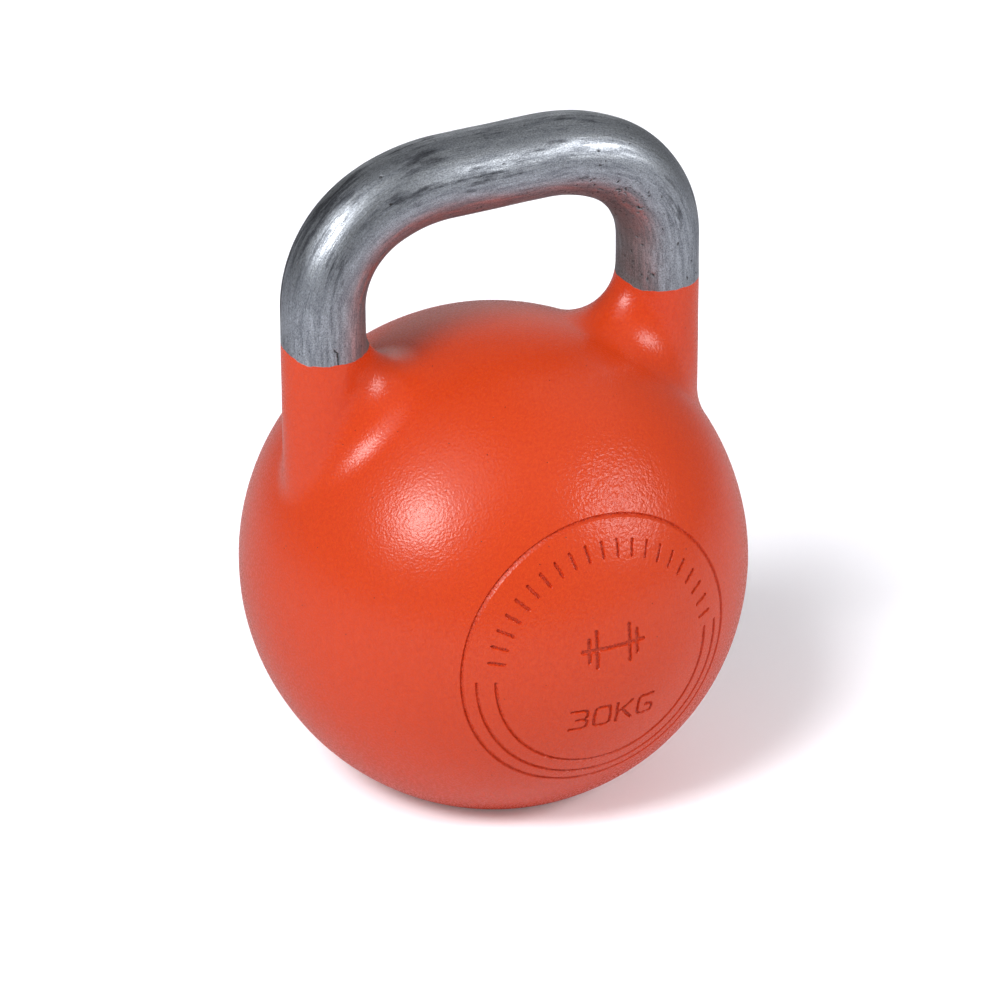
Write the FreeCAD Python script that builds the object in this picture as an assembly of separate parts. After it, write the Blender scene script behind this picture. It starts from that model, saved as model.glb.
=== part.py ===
import FreeCAD, Part
import math
import os
from FreeCAD import Vector

# Competition kettlebell of 30 kg: a hollow steel ball with two short horns, and a ground steel
# loop handle that is spigoted into the horns and welded round. Millimetres, +Z up. The origin
# is on the ground under the ball's centre, the handle lies along X, and the numerals face -Y
# and +Y.

# Overall
overall_height = 289.6
handle_width = 190.0
grip_diameter = 35.0

# Ball and horns
ball_radius = 107.0
ball_centre_z = 94.0
horn_top_z = 206.5
horn_fillet = 21.0
base_edge_fillet = 3.0

# Centreline of the handle: a straight bar, then two tangent arcs down to each upright leg
bar_half_length = 22.0
shoulder_radius = 70.0
shoulder_angle = math.radians(26.0)

# Handle spigots, their sockets in the horns, and the welds in the bevelled horn tops
spigot_radius = 12.5
spigot_length = 39.5
spigot_chamfer = 1.5
socket_clearance = 0.05
weld_bevel_angle = math.radians(35.0)
weld_outer_radius = 22.0

# Cavity, filler hole and plug
cavity_radius = 74.6
filler_radius = 21.0
counterbore_radius = 27.0
counterbore_depth = 9.0
plug_clearance = 0.05
plug_recess = 1.5
plug_flange_radius = 25.0
plug_flange_thickness = 6.0
plug_length = 20.5
plug_chamfer = 1.0
hex_across_flats = 22.0
hex_depth = 10.0
seal_outer_radius = 24.5

# Ballast of shot set in resin at the top of the cavity
ballast_depth = 30.0
ballast_clearance = 0.05

# Roundel on each face of the ball, given as if seen square on, from the roundel's own centre
roundel_tilt = 1.75
ring_radius = 60.2
arc_radii = (55.0, 48.2)
arc_start = 182.0
arc_end = 361.0
groove_radius = 0.95
mark_depth = 0.9
stroke_width = 1.5
tick_count = 21
tick_first = 9.0
tick_last = 171.0
tick_inner_radius = 45.9
tick_outer_radius = 51.6

# Weight mark: the middle of its line, and the cell that each character fills
text_centre = (1.5, -23.2)
glyph_width = 7.2
glyph_height = 9.2
glyph_pitch = 10.3
glyph_corner = 2.05

# Characters as strokes, in parts of the cell: each has its points and whether it closes
glyph_strokes = {
    "3": [([(0, 1), (1, 1), (1, 0.5), (0.35, 0.5)], False),
          ([(0.35, 0.5), (1, 0.5), (1, 0), (0, 0)], False)],
    "0": [([(0, 0), (1, 0), (1, 1), (0, 1)], True)],
    "K": [([(0, 0), (0, 1)], False),
          ([(1, 1), (0, 0.42)], False),
          ([(0.32, 0.6), (1, 0)], False)],
    "G": [([(1, 1), (0, 1), (0, 0), (1, 0), (1, 0.46), (0.55, 0.46)], False)],
}
weight_text = "30KG"

# Dumbbell sign above the weight: a bar, and upright strokes for its plates
sign_centre_v = 9.5
sign_bar_half = 14.0
sign_plates = ((7.5, 8.0), (11.0, 5.0))
sign_stroke_width = 2.0

grip_radius = grip_diameter / 2
leg_x = handle_width / 2 - grip_radius
leg_root_z = ball_centre_z + 20
bar_z = overall_height - grip_radius
face_turns = (0.0, 180.0)
edge_tolerance = 0.1
skin_margin = 5.0
up = Vector(0, 0, 1)
ball_centre = Vector(0, 0, ball_centre_z)


def cylinder(radius, low_z, high_z, x=0.0):
    return Part.makeCylinder(radius, high_z - low_z, Vector(x, 0, low_z), up)


def revolved(points):
    """Turn a closed outline of (radius, z) points about the Z axis."""
    outline = [Vector(radius, 0, z) for radius, z in points]
    face = Part.Face(Part.makePolygon(outline + outline[:1]))
    return face.revolve(Vector(0, 0, 0), up, 360)


def arc_edge(centre, radius, start, end):
    """An arc in the XZ plane, with angles measured from +Z towards +X."""
    def at(angle):
        return centre + Vector(radius * math.sin(angle), 0, radius * math.cos(angle))
    return Part.Arc(at(start), at((start + end) / 2), at(end)).toShape(), at(end)


def handle_centreline():
    """The loop from leg to leg, ending inside the ball. The corner arc's radius makes it end upright."""
    run = leg_x - bar_half_length - shoulder_radius * math.sin(shoulder_angle)
    corner_radius = run / (1 - math.sin(shoulder_angle))
    shoulder_centre = Vector(bar_half_length, 0, bar_z - shoulder_radius)
    shoulder, end = arc_edge(shoulder_centre, shoulder_radius, 0, shoulder_angle)
    corner_centre = end - Vector(math.sin(shoulder_angle), 0, math.cos(shoulder_angle)) * corner_radius
    corner, end = arc_edge(corner_centre, corner_radius, shoulder_angle, math.pi / 2)
    leg = Part.makeLine(end, Vector(leg_x, 0, leg_root_z))
    bar = Part.makeLine(Vector(-bar_half_length, 0, bar_z), Vector(bar_half_length, 0, bar_z))
    right = [shoulder, corner, leg]
    left = [edge.mirror(Vector(0, 0, 0), Vector(1, 0, 0)) for edge in right]
    return Part.Wire(Part.__sortEdges__(left + [bar] + right))


def is_horn_seam(edge, solid):
    """True for an edge where the ball's skin meets a leg."""
    surfaces = {face.Surface.TypeId for face in solid.Faces if any(e.isSame(edge) for e in face.Edges)}
    return edge.BoundBox.ZMin > ball_centre_z and "Part::GeomSphere" in surfaces and len(surfaces) > 1


def outer_form():
    """The whole outside as one solid, with the horns blended into the ball."""
    ball = Part.makeSphere(ball_radius, ball_centre)
    ball = ball.cut(cylinder(2 * ball_radius, -ball_radius, 0))
    foot = [edge for edge in ball.Edges if edge.BoundBox.ZMax < edge_tolerance]
    ball = ball.makeFillet(base_edge_fillet, foot)
    section = Part.Wire(Part.makeCircle(grip_radius, Vector(leg_x, 0, leg_root_z), up))
    loop = handle_centreline().makePipeShell([section], True, True)
    body = ball.fuse(loop)
    seams = [edge for edge in body.Edges if is_horn_seam(edge, body)]
    return body.makeFillet(horn_fillet, seams)


def part_above(solid, level):
    return solid.common(cylinder(2 * ball_radius, level, 2 * overall_height))


def part_below(solid, level):
    return solid.common(cylinder(2 * ball_radius, -ball_radius, level))


def handle(outer):
    """The bare steel loop, with a plain spigot under each leg."""
    spigot_end = horn_top_z - spigot_length
    neck = spigot_radius - spigot_chamfer
    pieces = []
    for x in (-leg_x, leg_x):
        pieces.append(cylinder(spigot_radius, spigot_end + spigot_chamfer, horn_top_z, x))
        pieces.append(Part.makeCone(neck, spigot_radius, spigot_chamfer, Vector(x, 0, spigot_end), up))
    return part_above(outer, horn_top_z).fuse(pieces)


def rounded_path(points, radius, closed):
    """Straight runs through (u, v) points, with tangent arcs of one radius at the corners."""
    corners = [Vector(u, 0, v) for u, v in points]
    count = len(corners)
    inner = range(count) if closed else range(1, count - 1)
    starts, ends, arcs = {}, {}, {}
    for index in inner:
        here = corners[index]
        back = (corners[index - 1] - here).normalize()
        onward = (corners[(index + 1) % count] - here).normalize()
        half_angle = back.getAngle(onward) / 2
        reach = radius / math.tan(half_angle)
        bisector = (back + onward).normalize()
        middle = here + bisector * (radius / math.sin(half_angle) - radius)
        starts[index] = here + back * reach
        ends[index] = here + onward * reach
        arcs[index] = Part.Arc(starts[index], middle, ends[index]).toShape()
    edges = list(arcs.values())
    for index in range(count if closed else count - 1):
        after = (index + 1) % count
        begin = ends.get(index, corners[index])
        finish = starts.get(after, corners[after])
        if (finish - begin).Length > 0.01:
            edges.append(Part.makeLine(begin, finish))
    return Part.Wire(Part.__sortEdges__(edges))


def slot_face(start, end, width):
    along = (end - start).normalize()
    side = along.cross(Vector(0, 1, 0)) * (width / 2)
    tip = along * (width / 2)
    edges = [Part.makeLine(start + side, end + side),
             Part.Arc(end + side, end + tip, end - side).toShape(),
             Part.makeLine(end - side, start - side),
             Part.Arc(start - side, start - tip, start + side).toShape()]
    return Part.Face(Part.Wire(edges))


def stroke(points, width, closed=False):
    """The prism that cuts one stroke, from the ball's centre out past its skin."""
    if len(points) == 2:
        ends = [Vector(u, 0, v) for u, v in points]
        face = slot_face(ends[0], ends[1], width)
    elif closed:
        path = rounded_path(points, glyph_corner, closed)
        rims = [path.makeOffset2D(side * width / 2) for side in (1, -1)]
        face = Part.Face(rims, "Part::FaceMakerBullseye")
    else:
        path = rounded_path(points, glyph_corner, closed)
        face = path.makeOffset2D(width / 2, 0, True, True)
    return face.extrude(Vector(0, -(ball_radius + skin_margin), 0))


def weight_strokes():
    width = glyph_pitch * (len(weight_text) - 1) + glyph_width
    left = text_centre[0] - width / 2
    foot = text_centre[1] - glyph_height / 2
    strokes = []
    for place, character in enumerate(weight_text):
        for cell_points, closed in glyph_strokes[character]:
            points = [(left + place * glyph_pitch + u * glyph_width, foot + v * glyph_height)
                      for u, v in cell_points]
            strokes.append(stroke(points, stroke_width, closed))
    return strokes


def sign_strokes():
    bar = [(-sign_bar_half, sign_centre_v), (sign_bar_half, sign_centre_v)]
    strokes = [stroke(bar, sign_stroke_width)]
    for offset, half_height in sign_plates:
        for u in (-offset, offset):
            plate = [(u, sign_centre_v - half_height), (u, sign_centre_v + half_height)]
            strokes.append(stroke(plate, sign_stroke_width))
    return strokes


def tick_strokes():
    strokes = []
    step = (tick_last - tick_first) / (tick_count - 1)
    for index in range(tick_count):
        angle = math.radians(tick_first + index * step)
        ends = [(radius * math.cos(angle), radius * math.sin(angle))
                for radius in (tick_inner_radius, tick_outer_radius)]
        strokes.append(stroke(ends, stroke_width))
    return strokes


def ring_groove(radius, start, end):
    """A round-bottomed groove centred on the ball's skin, with round ends if it is open."""
    depth = -math.sqrt(ball_radius ** 2 - radius ** 2)

    def at(degrees):
        angle = math.radians(degrees)
        return Vector(radius * math.cos(angle), depth, radius * math.sin(angle))
    tangent = Vector(0, 1, 0).cross(Vector(at(start).x, 0, at(start).z))
    section = Part.Face(Part.Wire(Part.makeCircle(groove_radius, at(start), tangent)))
    groove = section.revolve(Vector(0, 0, 0), Vector(0, -1, 0), end - start)
    if end - start < 360:
        groove = groove.fuse([Part.makeSphere(groove_radius, at(angle)) for angle in (start, end)])
    return groove


def roundel_tools():
    """Everything that is cut into one face of the ball, with the ball's centre at the origin."""
    skin = Part.makeSphere(ball_radius + skin_margin).cut(Part.makeSphere(ball_radius - mark_depth))
    marks = [mark.common(skin) for mark in weight_strokes() + sign_strokes() + tick_strokes()]
    rings = [ring_groove(ring_radius, 0, 360)]
    rings += [ring_groove(radius, arc_start, arc_end) for radius in arc_radii]
    return marks + rings


def cut_roundels(body):
    for turn in face_turns:
        for tool in roundel_tools():
            tool.rotate(Vector(0, 0, 0), Vector(1, 0, 0), roundel_tilt)
            tool.rotate(Vector(0, 0, 0), up, turn)
            tool.translate(ball_centre)
            body = body.cut(tool)
    return body


def weld_ring(outer, x):
    """A single-bevel weld, dressed flush, that fills the bevel in a horn's top."""
    root = spigot_radius + socket_clearance
    drop = (weld_outer_radius - root) * math.tan(weld_bevel_angle)
    outline = [(root, horn_top_z), (weld_outer_radius, horn_top_z), (weld_outer_radius, horn_top_z - drop)]
    ring = revolved(outline)
    ring.translate(Vector(x, 0, 0))
    return ring.common(outer)


def ball_shell(outer, welds):
    hollows = [Part.makeSphere(cavity_radius, ball_centre),
               cylinder(filler_radius + plug_clearance, 0, ball_centre_z),
               cylinder(counterbore_radius, 0, counterbore_depth)]
    socket_radius = spigot_radius + socket_clearance
    socket_end = horn_top_z - spigot_length
    hollows += [cylinder(socket_radius, socket_end, horn_top_z, x) for x in (-leg_x, leg_x)]
    return cut_roundels(part_below(outer, horn_top_z).cut(hollows + welds))


def trim_ballast():
    """A pool that set against the top of the cavity while the ball stood on its handle."""
    radius = cavity_radius - ballast_clearance
    ballast = Part.makeSphere(radius, ball_centre)
    level = ball_centre_z + cavity_radius - ballast_depth
    empty = cylinder(2 * radius, ball_centre_z - 2 * radius, level)
    return ballast.cut(empty)


def base_plug():
    """A flanged plug with a socket for a hex key."""
    low = plug_recess
    seat = low + plug_flange_thickness
    top = low + plug_length
    flange = plug_flange_radius
    c = plug_chamfer
    body = revolved([(0, low), (flange - c, low), (flange, low + c), (flange, seat), (filler_radius, seat),
                     (filler_radius, top - c), (filler_radius - c, top), (0, top)])
    corner = hex_across_flats / 2 / math.cos(math.radians(30))
    turns = [math.radians(60 * side) for side in range(6)]
    corners = [Vector(corner * math.cos(turn), corner * math.sin(turn), low) for turn in turns]
    socket = Part.Face(Part.makePolygon(corners + corners[:1])).extrude(up * hex_depth)
    lead = Part.makeCone(corner, corner - c, c, Vector(0, 0, low), up)
    return body.cut([socket, lead])


def plug_seal():
    """The flat ring between the plug's flange and the counterbore's floor."""
    seat = plug_recess + plug_flange_thickness
    ring = cylinder(seal_outer_radius, seat, counterbore_depth)
    return ring.cut(cylinder(filler_radius + plug_clearance, seat, counterbore_depth))


os.makedirs("parts", exist_ok=True)
outer = outer_form()
welds = [weld_ring(outer, x) for x in (-leg_x, leg_x)]
nodes = {
    "handle": handle(outer),
    "ball_shell": ball_shell(outer, welds),
    "weld_left": welds[0],
    "weld_right": welds[1],
    "trim_ballast": trim_ballast(),
    "base_plug": base_plug(),
    "plug_seal": plug_seal(),
}
for name, shape in nodes.items():
    print(name, shape.isValid(), len(shape.Solids), len(shape.Faces), round(shape.Volume / 1000, 2))
    shape.exportStep("parts/" + name + ".step")
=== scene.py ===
import math
from functools import partial
import bmesh
import bpy
import numpy as np
from mathutils import Matrix, Vector, kdtree, noise


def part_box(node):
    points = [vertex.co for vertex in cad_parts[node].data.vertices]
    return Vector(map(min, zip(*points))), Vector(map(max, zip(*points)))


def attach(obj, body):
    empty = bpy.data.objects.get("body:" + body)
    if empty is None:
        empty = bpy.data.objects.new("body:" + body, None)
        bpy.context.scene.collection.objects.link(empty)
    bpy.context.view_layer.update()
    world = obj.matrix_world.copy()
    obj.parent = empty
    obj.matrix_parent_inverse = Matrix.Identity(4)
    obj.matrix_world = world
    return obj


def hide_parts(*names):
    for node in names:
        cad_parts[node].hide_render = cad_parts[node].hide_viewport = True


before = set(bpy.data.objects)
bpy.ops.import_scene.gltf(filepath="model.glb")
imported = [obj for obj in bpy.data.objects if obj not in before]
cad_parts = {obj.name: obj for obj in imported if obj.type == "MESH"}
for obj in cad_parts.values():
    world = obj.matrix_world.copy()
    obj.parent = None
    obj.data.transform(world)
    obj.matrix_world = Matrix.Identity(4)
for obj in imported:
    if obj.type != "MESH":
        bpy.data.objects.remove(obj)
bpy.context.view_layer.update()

scene = bpy.context.scene
mm = 0.001
farAway = 1000.0


def hexToLinear(code):
    channels = [int(code[i:i + 2], 16) / 255 for i in (1, 3, 5)]
    return [c / 12.92 if c <= 0.04045 else ((c + 0.055) / 1.055) ** 2.4 for c in channels] + [1.0]


def perSize(size):
    return 1 / (size * mm)  # the scale at which a pattern repeats about every so many millimetres


def addNode(tree, kind, links=None, **settings):
    # an input takes a number, a hex colour, a socket, or a whole node, which gives its first output in use
    made = tree.nodes.new("ShaderNode" + kind)
    for name, value in settings.items():
        setattr(made, name, value)
    for socket, value in (links or {}).items():
        if isinstance(value, str):
            value = hexToLinear(value)
        if isinstance(value, bpy.types.Node):
            value = next(output for output in value.outputs if output.enabled)
        if isinstance(value, bpy.types.NodeSocket):
            tree.links.new(value, made.inputs[socket])
        else:
            made.inputs[socket].default_value = value
    return made


def newMaterial(name):
    # the material, and the function that adds a node to it
    material = bpy.data.materials.new(name)
    material.use_nodes = True
    material.node_tree.nodes.clear()
    return material, partial(addNode, material.node_tree)


# the outside form, in millimetres: a ball cut flat underneath, and a loop blended into its top
form = {
    "ballRadius": 107.0,
    "ballCentreZ": 94.0,
    "gripRadius": 17.5,
    "hornBlend": 21.0,
    "footRound": 3.0,
    "barHalf": 22.0,
    "shoulderRadius": 70.0,
    "shoulderAngle": math.radians(26),
    "legRoot": 20.0,  # the legs are only looked for this far above the ball's centre
    "blendZone": 30.0,  # and the blend only this near to ball and leg
    "footZone": 20.0,
}
handleLow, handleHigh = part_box("handle")
form["legX"] = handleHigh.x / mm - form["gripRadius"]
form["barZ"] = handleHigh.z / mm - form["gripRadius"]
form["hornTopZ"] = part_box("ball_shell")[1].z / mm
bendRun = form["legX"] - form["barHalf"] - form["shoulderRadius"] * math.sin(form["shoulderAngle"])
form["cornerRadius"] = bendRun / (1 - math.sin(form["shoulderAngle"]))
shoulderCentre = np.array([form["barHalf"], form["barZ"] - form["shoulderRadius"]])
shoulderSide = np.array([math.sin(form["shoulderAngle"]), math.cos(form["shoulderAngle"])])
cornerCentre = shoulderCentre + shoulderSide * (form["shoulderRadius"] - form["cornerRadius"])
ballCentre = np.array([0, 0, form["ballCentreZ"]])


def loopDistance(p):
    # how far each point is outside the round bar of the handle
    x, y, z = np.abs(p[:, 0]), p[:, 1], p[:, 2]
    bar = (x - np.minimum(x, form["barHalf"])) ** 2 + (z - form["barZ"]) ** 2
    leg = (x - form["legX"]) ** 2 + np.maximum(z - cornerCentre[1], 0) ** 2
    squares = [bar, leg]
    bends = ((shoulderCentre, form["shoulderRadius"], 0, form["shoulderAngle"]),
             (cornerCentre, form["cornerRadius"], form["shoulderAngle"], math.pi / 2))
    for centre, radius, first, last in bends:
        angle = np.clip(np.arctan2(x - centre[0], z - centre[1]), first, last)
        dx = x - centre[0] - radius * np.sin(angle)
        dz = z - centre[1] - radius * np.cos(angle)
        squares.append(dx ** 2 + dz ** 2)
    return np.sqrt(np.minimum.reduce(squares) + y ** 2) - form["gripRadius"]


def hornBlend(p, field):
    # the surface of a ball rolled round each horn's foot, wherever that ball touches both
    roll = form["hornBlend"]
    reach = form["gripRadius"] + roll
    q = np.column_stack([np.abs(p[:, 0]) - form["legX"], p[:, 1], p[:, 2] - form["ballCentreZ"]])
    turn = np.arctan2(q[:, 1], q[:, 0])
    for _ in range(6):  # closes in on the nearest point of the rolling ball's path
        cosine, sine = np.cos(turn), np.sin(turn)
        acrossX = form["legX"] + reach * cosine
        height = np.sqrt((form["ballRadius"] + roll) ** 2 - acrossX ** 2 - (reach * sine) ** 2)
        spine = np.column_stack([reach * cosine, reach * sine, height])
        along = np.column_stack([-reach * sine, reach * cosine, form["legX"] * reach * sine / height])
        turn = turn + ((q - spine) * along).sum(1) / (along ** 2).sum(1)
    away = q - spine
    fromBall = np.column_stack([acrossX, reach * sine, height]) / (form["ballRadius"] + roll)
    fromLeg = np.column_stack([cosine, sine, 0 * sine])
    mix = (fromBall * fromLeg).sum(1)
    toBall, toLeg = -(away * fromBall).sum(1), -(away * fromLeg).sum(1)
    touches = (toLeg > mix * toBall) & (toBall > mix * toLeg)
    return np.where(touches, roll - np.linalg.norm(away, axis=1), field)


def outsideField(p):
    # signed distance from the outside form: below zero inside it
    ball = np.linalg.norm(p - ballCentre, axis=1) - form["ballRadius"]
    loop = np.where(p[:, 2] > form["ballCentreZ"] + form["legRoot"], loopDistance(p), farAway)
    field = np.minimum(ball, loop)
    near = (np.abs(ball) < form["blendZone"]) & (loop < form["blendZone"])
    field[near] = hornBlend(p[near], field[near])
    # round the edge between ball and base
    curve = form["footRound"]
    lean = form["ballCentreZ"] / form["ballRadius"]
    a, b = ball + curve, curve - p[:, 2]
    rounded = np.sqrt(np.maximum(a * a + b * b - 2 * lean * a * b, 0) / (1 - lean ** 2)) - curve
    foot = np.where((a > lean * b) & (b > lean * a), rounded, np.maximum(field, -p[:, 2]))
    return np.where(p[:, 2] < form["footZone"], foot, field)


def slopeOf(field, p, step=0.02):
    slope = np.empty_like(p)
    for axis in range(3):
        offset = np.zeros(3)
        offset[axis] = step
        slope[:, axis] = (field(p + offset) - field(p - offset)) / (2 * step)
    return slope


def settle(field, p, rounds=3):
    # move points along the slope until they lie on the surface; gives their outward normals too
    for _ in range(rounds):
        slope = slopeOf(field, p)
        size = (slope ** 2).sum(1)
        p = p - field(p)[:, None] * slope / np.maximum(size, 0.2)[:, None]
    slope = slopeOf(field, p)
    return p, slope / np.linalg.norm(slope, axis=1)[:, None]


def surfaceNet(field, low, high, step):
    # a quad mesh of the surface where the field is zero, one point for each grid cell that it crosses
    counts = [int(math.ceil((b - a) / step)) + 1 for a, b in zip(low, high)]
    axes = [a + step * np.arange(n) for a, n in zip(low, counts)]
    grid = np.stack(np.meshgrid(*axes, indexing="ij"), -1)
    values = np.concatenate([field(slab.reshape(-1, 3)) for slab in grid]).reshape(counts)
    inside = values < 0
    corners = [(i, j, k) for i in (0, 1) for j in (0, 1) for k in (0, 1)]

    def corner(array, c):
        return array[tuple(slice(o, n - 1 + o) for o, n in zip(c, counts))]
    total = sum(corner(inside, c).astype(int) for c in corners)
    cells = (total > 0) & (total < 8)
    number = -np.ones(cells.shape, int)
    number[cells] = np.arange(cells.sum())
    point, hits = np.zeros((cells.sum(), 3)), np.zeros(cells.sum())
    for c in corners:
        for axis in range(3):
            if c[axis]:
                continue
            d = tuple(1 if i == axis else o for i, o in enumerate(c))
            first, last = corner(values, c)[cells], corner(values, d)[cells]
            crosses = (first < 0) != (last < 0)
            share = np.where(crosses, first / np.where(crosses, first - last, 1), 0)
            place = np.tile(np.array(c, float), (len(share), 1))
            place[:, axis] += share
            point += place * crosses[:, None]
            hits += crosses
    point = (np.argwhere(cells) + point / hits[:, None]) * step + np.array(low)
    faces = []
    for axis in range(3):
        a, b = (axis + 1) % 3, (axis + 2) % 3
        here = np.argwhere(np.diff(inside.astype(int), axis=axis) != 0)
        here = here[(here[:, a] > 0) & (here[:, b] > 0)]
        stepA, stepB = np.eye(3, dtype=int)[a], np.eye(3, dtype=int)[b]
        ring = [here - stepA - stepB, here - stepB, here, here - stepA]
        quads = np.column_stack([number[tuple(cell.T)] for cell in ring])
        flip = inside[tuple(here.T)]
        quads[~flip] = quads[~flip][:, ::-1]
        faces.append(quads)
    return point, np.concatenate(faces)


def relax(field, points, faces, rounds):
    # even out the quads along the surface
    ends = np.concatenate([faces[:, [i, (i + 1) % 4]] for i in range(4)])
    for _ in range(rounds):
        total, count = np.zeros_like(points), np.zeros(len(points))
        for one, other in ((0, 1), (1, 0)):
            np.add.at(total, ends[:, one], points[ends[:, other]])
            np.add.at(count, ends[:, one], 1)
        points = settle(field, 0.4 * points + 0.6 * total / count[:, None], 1)[0]
    return settle(field, points, 2)[0]


def meshObject(name, points, faces):
    mesh = bpy.data.meshes.new(name)
    mesh.from_pydata((points * mm).tolist(), [], [list(face) for face in faces])
    mesh.validate()
    made = bpy.data.objects.new(name, mesh)
    scene.collection.objects.link(made)
    return made


def latheObject(name, outline, x=0.0, sides=128):
    # a closed turned solid from (radius, z) points, in millimetres
    points, faces, rows = [], [], []
    for radius, z in outline:
        if radius == 0:
            rows.append([len(points)] * sides)
            points.append((x, 0, z))
        else:
            rows.append(range(len(points), len(points) + sides))
            points += [(x + radius * math.cos(2 * math.pi * i / sides),
                        radius * math.sin(2 * math.pi * i / sides), z) for i in range(sides)]
    for low, high in zip(rows, rows[1:]):
        for i in range(sides):
            quad = [low[i], low[(i + 1) % sides], high[(i + 1) % sides], high[i]]
            faces.append(list(dict.fromkeys(quad)))
    return meshObject(name, np.array(points, float), faces)


def cutAway(target, tool, operation="DIFFERENCE"):
    cut = target.modifiers.new("cut", "BOOLEAN")
    cut.operation = operation
    cut.solver = "EXACT"
    cut.object = tool
    with bpy.context.temp_override(object=target, active_object=target):
        bpy.ops.object.modifier_apply(modifier="cut")
    bpy.data.objects.remove(tool)


# what is sunk into each face of the ball, in millimetres from the roundel's own centre
roundel = {
    "tilt": math.radians(1.75),
    "ringRadius": 60.2,
    "arcRadii": (55.0, 48.2),
    "arcStart": math.radians(182),
    "arcEnd": math.radians(361),
    "grooveHalf": 0.95,
    "grooveDepth": 0.95,
    "strokeHalf": 0.75,
    "strokeDepth": 0.9,
    "tickCount": 21,
    "tickFirst": math.radians(9),
    "tickLast": math.radians(171),
    "tickRadii": (45.9, 51.6),
    "textCentre": (1.5, -23.2),
    "glyphSize": (7.2, 9.2),
    "glyphPitch": 10.3,
    "glyphCorner": 2.05,
    "signCentre": 9.5,
    "signBarHalf": 14.0,
    "signPlates": ((7.5, 8.0), (11.0, 5.0)),
    "signHalf": 1.0,
    "zoneRadius": 64.0,
}
weightText = "30KG"
glyphStrokes = {
    "3": [([(0, 1), (1, 1), (1, 0.5), (0.35, 0.5)], False),
          ([(0.35, 0.5), (1, 0.5), (1, 0), (0, 0)], False)],
    "0": [([(0, 0), (1, 0), (1, 1), (0, 1)], True)],
    "K": [([(0, 0), (0, 1)], False),
          ([(1, 1), (0, 0.42)], False),
          ([(0.32, 0.6), (1, 0)], False)],
    "G": [([(1, 1), (0, 1), (0, 0), (1, 0), (1, 0.46), (0.55, 0.46)], False)],
}


def roundedRun(corners, radius, closed, spacing=0.12):
    # points along straight runs with round corners
    corners = [np.array(c, float) for c in corners]
    count = len(corners)
    run = []
    for i, here in enumerate(corners):
        if not closed and i in (0, count - 1):
            run.append([here])
            continue
        back, onward = corners[i - 1] - here, corners[(i + 1) % count] - here
        back, onward = back / np.linalg.norm(back), onward / np.linalg.norm(onward)
        half = math.acos(np.clip(back @ onward, -1, 1)) / 2
        middle = here + (back + onward) / np.linalg.norm(back + onward) * radius / math.sin(half)
        first = here + back * radius / math.tan(half) - middle
        last = here + onward * radius / math.tan(half) - middle
        start = math.atan2(first[1], first[0])
        sweep = (math.atan2(last[1], last[0]) - start + math.pi) % (2 * math.pi) - math.pi
        angles = start + sweep * np.linspace(0, 1, 24)
        run.append([middle + radius * np.array([math.cos(t), math.sin(t)]) for t in angles])
    run = [point for piece in run for point in piece]
    if closed:
        run.append(run[0])
    samples = []
    for a, b in zip(run, run[1:]):
        steps = max(1, int(np.linalg.norm(b - a) / spacing))
        samples += [a + (b - a) * i / steps for i in range(steps + 1)]
    return samples


def markStrokes():
    # the centre points of every stroke, each with its half width
    strokes = []
    width, height = roundel["glyphSize"]
    left = roundel["textCentre"][0] - (roundel["glyphPitch"] * (len(weightText) - 1) + width) / 2
    foot = roundel["textCentre"][1] - height / 2
    for place, character in enumerate(weightText):
        for cell, closed in glyphStrokes[character]:
            start = left + place * roundel["glyphPitch"]
            run = roundedRun([(start + u * width, foot + v * height) for u, v in cell],
                             roundel["glyphCorner"], closed)
            strokes += [(p, roundel["strokeHalf"]) for p in run]
    signV = roundel["signCentre"]
    bar = [(-roundel["signBarHalf"], signV), (roundel["signBarHalf"], signV)]
    lines = [(bar, roundel["signHalf"])]
    for offset, half in roundel["signPlates"]:
        lines += [([(u, signV - half), (u, signV + half)], roundel["signHalf"]) for u in (-offset, offset)]
    for angle in np.linspace(roundel["tickFirst"], roundel["tickLast"], roundel["tickCount"]):
        tick = [(r * math.cos(angle), r * math.sin(angle)) for r in roundel["tickRadii"]]
        lines.append((tick, roundel["strokeHalf"]))
    for line, half in lines:
        strokes += [(p, half) for p in roundedRun(line, 0, False)]
    return strokes


markPoints = markStrokes()
markTree = kdtree.KDTree(len(markPoints))
for i, (point, half) in enumerate(markPoints):
    markTree.insert((point[0], point[1], 0), i)
markTree.balance()


def roundelPlace(points, face):
    # (u, v) of each point on the roundel of the face that looks along face * Y,
    # and how far it lies behind the ball's centre as seen from there
    x, y, z = points[:, 0] * -face, points[:, 1] * -face, points[:, 2] - form["ballCentreZ"]
    cosine, sine = math.cos(roundel["tilt"]), math.sin(roundel["tilt"])
    return x, z * cosine - y * sine, y * cosine + z * sine


def grooveDistances(u, v):
    # distance outside the nearest groove or stroke, with that groove's half width
    radius, angle = np.hypot(u, v), np.arctan2(v, u) % (2 * math.pi)
    best = np.abs(radius - roundel["ringRadius"])
    half = np.full(len(u), roundel["grooveHalf"])
    start, end = roundel["arcStart"], roundel["arcEnd"]
    for arcRadius in roundel["arcRadii"]:
        along = np.where(angle < start - math.pi / 2, angle + 2 * math.pi, angle)
        along = np.clip(along, start, end)
        away = np.hypot(u - arcRadius * np.cos(along), v - arcRadius * np.sin(along))
        best = np.minimum(best, away)
    for i in np.flatnonzero(radius < roundel["tickRadii"][1] + 2):
        _, index, away = markTree.find((u[i], v[i], 0))
        if away < best[i]:
            best[i] = away
            half[i] = markPoints[index][1]
    return best, half


def markedFaces(points):
    for face in (-1, 1):
        u, v, outward = roundelPlace(points, face)
        yield face, u, v, (np.hypot(u, v) < roundel["zoneRadius"]) & (outward < 0)


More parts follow.
